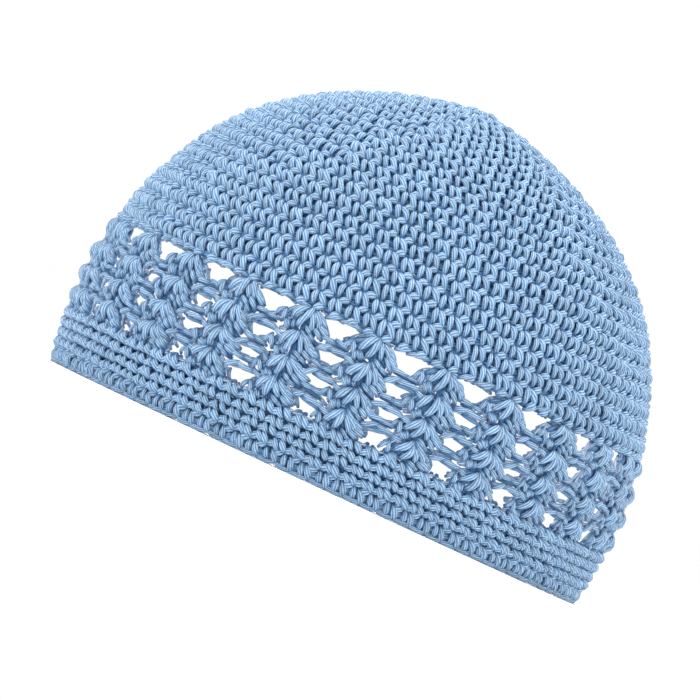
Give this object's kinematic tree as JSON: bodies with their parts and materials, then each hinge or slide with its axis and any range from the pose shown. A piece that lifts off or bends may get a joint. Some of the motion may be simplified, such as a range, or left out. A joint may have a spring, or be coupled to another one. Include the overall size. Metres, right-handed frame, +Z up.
{
  "type": "kufi cap",
  "caption": "Round brimless cap in crocheted cotton with a domed crown, a band of openwork shell lace and a firm hem.",
  "frame": {"origin": "centre of the rim's underside, on the surface the cap stands on", "axes": "+Z up through the tip of the crown, along the cap's axis; -Y towards the viewer of the front"},
  "size_m": [0.185, 0.185, 0.127],
  "materials": {
    "crown_cotton": "plied cotton yarn, single crochet, matt with a soft sheen",
    "lace_cotton": "plied cotton yarn, shells and chain bars, matt with a soft sheen",
    "hem_cotton": "plied cotton yarn, firm single crochet, matt with a soft sheen",
    "edging_cotton": "plied cotton yarn, tall stitches over a chain edge, matt with a soft sheen"
  },
  "bodies": {
    "root": {"crown": "crown_cotton", "lace_band": "lace_cotton", "hem_band": "hem_cotton", "rim_edging": "edging_cotton"}
  },
  "joints": []
}
